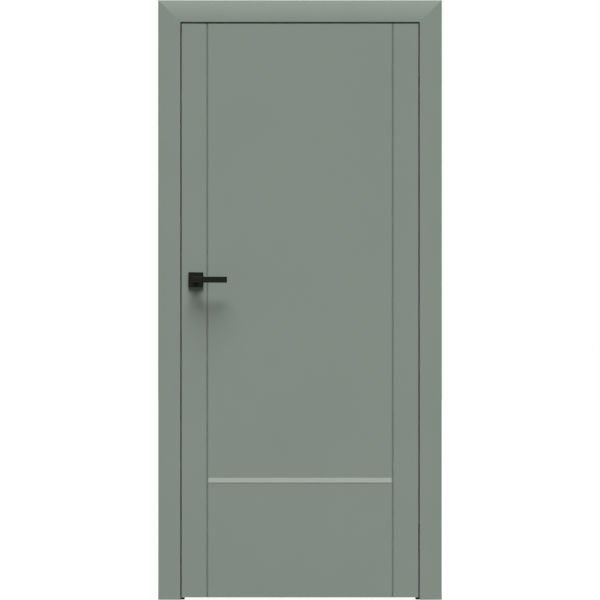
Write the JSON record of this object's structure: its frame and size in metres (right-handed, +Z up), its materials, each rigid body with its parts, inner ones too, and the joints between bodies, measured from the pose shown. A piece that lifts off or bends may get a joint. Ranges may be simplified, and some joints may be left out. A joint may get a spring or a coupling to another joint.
{
  "type": "panelled door",
  "caption": "Flush panelled door leaf with a metal inlay in its own frame and casings; it swings on concealed hinges and has a lever handle on both faces and a magnetic latch.",
  "frame": {"origin": "on the floor, at the middle of the leaf's width and thickness", "axes": "+Z up, -Y towards the front that the picture shows, +X towards the hinge side"},
  "size_m": [0.989, 0.172, 2.0905],
  "materials": {
    "door_paint": "satin sage-green paint on fibreboard",
    "inlay_metal": "satin anodised",
    "handle_black": "matt black",
    "fitting_black": "matt black",
    "hardware_steel": "satin",
    "seal_rubber": "matt",
    "strike_plastic": "matt",
    "bare_wood": "beech dowel"
  },
  "bodies": {
    "frame": {"lock_jamb": "door_paint", "hinge_jamb": "door_paint", "head_jamb": "door_paint", "frame_corner_screws": "hardware_steel", "front_casing_left": "door_paint", "front_casing_right": "door_paint", "front_casing_head": "door_paint", "back_casing_left": "door_paint", "back_casing_right": "door_paint", "back_casing_head": "door_paint", "lock_side_seal": "seal_rubber", "hinge_side_seal": "seal_rubber", "head_seal": "seal_rubber", "strike_plate": "fitting_black", "strike_box": "strike_plastic", "strike_magnet": "hardware_steel", "strike_screws": "fitting_black", "lower_hinge_frame_housing": "fitting_black", "upper_hinge_frame_housing": "fitting_black", "hinge_pins": "hardware_steel", "hinge_frame_screws": "fitting_black"},
    "hinge_arms": {"lower_hinge_arm": "fitting_black", "upper_hinge_arm": "fitting_black"},
    "leaf": {"lock_stile": "door_paint", "hinge_stile": "door_paint", "upper_panel": "door_paint", "lower_panel": "door_paint", "cross_rail": "door_paint", "front_inlay_strip": "inlay_metal", "back_inlay_strip": "inlay_metal", "panel_dowels": "bare_wood", "lower_hinge_leaf_housing": "fitting_black", "upper_hinge_leaf_housing": "fitting_black", "hinge_leaf_screws": "fitting_black", "latch_case": "hardware_steel", "latch_faceplate": "fitting_black", "faceplate_screws": "fitting_black", "front_rose": "handle_black", "back_rose": "handle_black", "front_rose_base": "hardware_steel", "back_rose_base": "hardware_steel", "rose_bolts": "hardware_steel"},
    "handle": {"front_lever": "handle_black", "back_lever": "handle_black", "lever_grub_screws": "handle_black", "spindle": "hardware_steel", "follower": "hardware_steel"},
    "bolt": {"latch_bolt": "fitting_black"}
  },
  "joints": [
    {"name": "door_swing", "type": "hinge", "parent": "frame", "child": "leaf", "pos_m": [0.41475, -0.02, 0], "axis": [0, 0, 1], "range_deg": [0, 105]},
    {"name": "hinge_arm_turn", "type": "hinge", "parent": "frame", "child": "hinge_arms", "pos_m": [0.41975, 0.003, 0], "axis": [0, 0, 1], "range_deg": [0, 52.5]},
    {"name": "lever_turn", "type": "hinge", "parent": "leaf", "child": "handle", "pos_m": [-0.363, 0, 1.116], "axis": [0, 1, 0], "range_deg": [0, 40], "stiffness_Nm_per_rad": 1, "springref_deg": -34.38},
    {"name": "bolt_throw", "type": "slide", "parent": "leaf", "child": "bolt", "axis": [-1, 0, 0], "range_m": [0, 0.011], "stiffness_N_per_m": 100, "springref_m": -0.005}
  ],
  "couplings": [
    {"joint": "hinge_arm_turn", "follows": "door_swing", "ratio": 0.5}
  ]
}
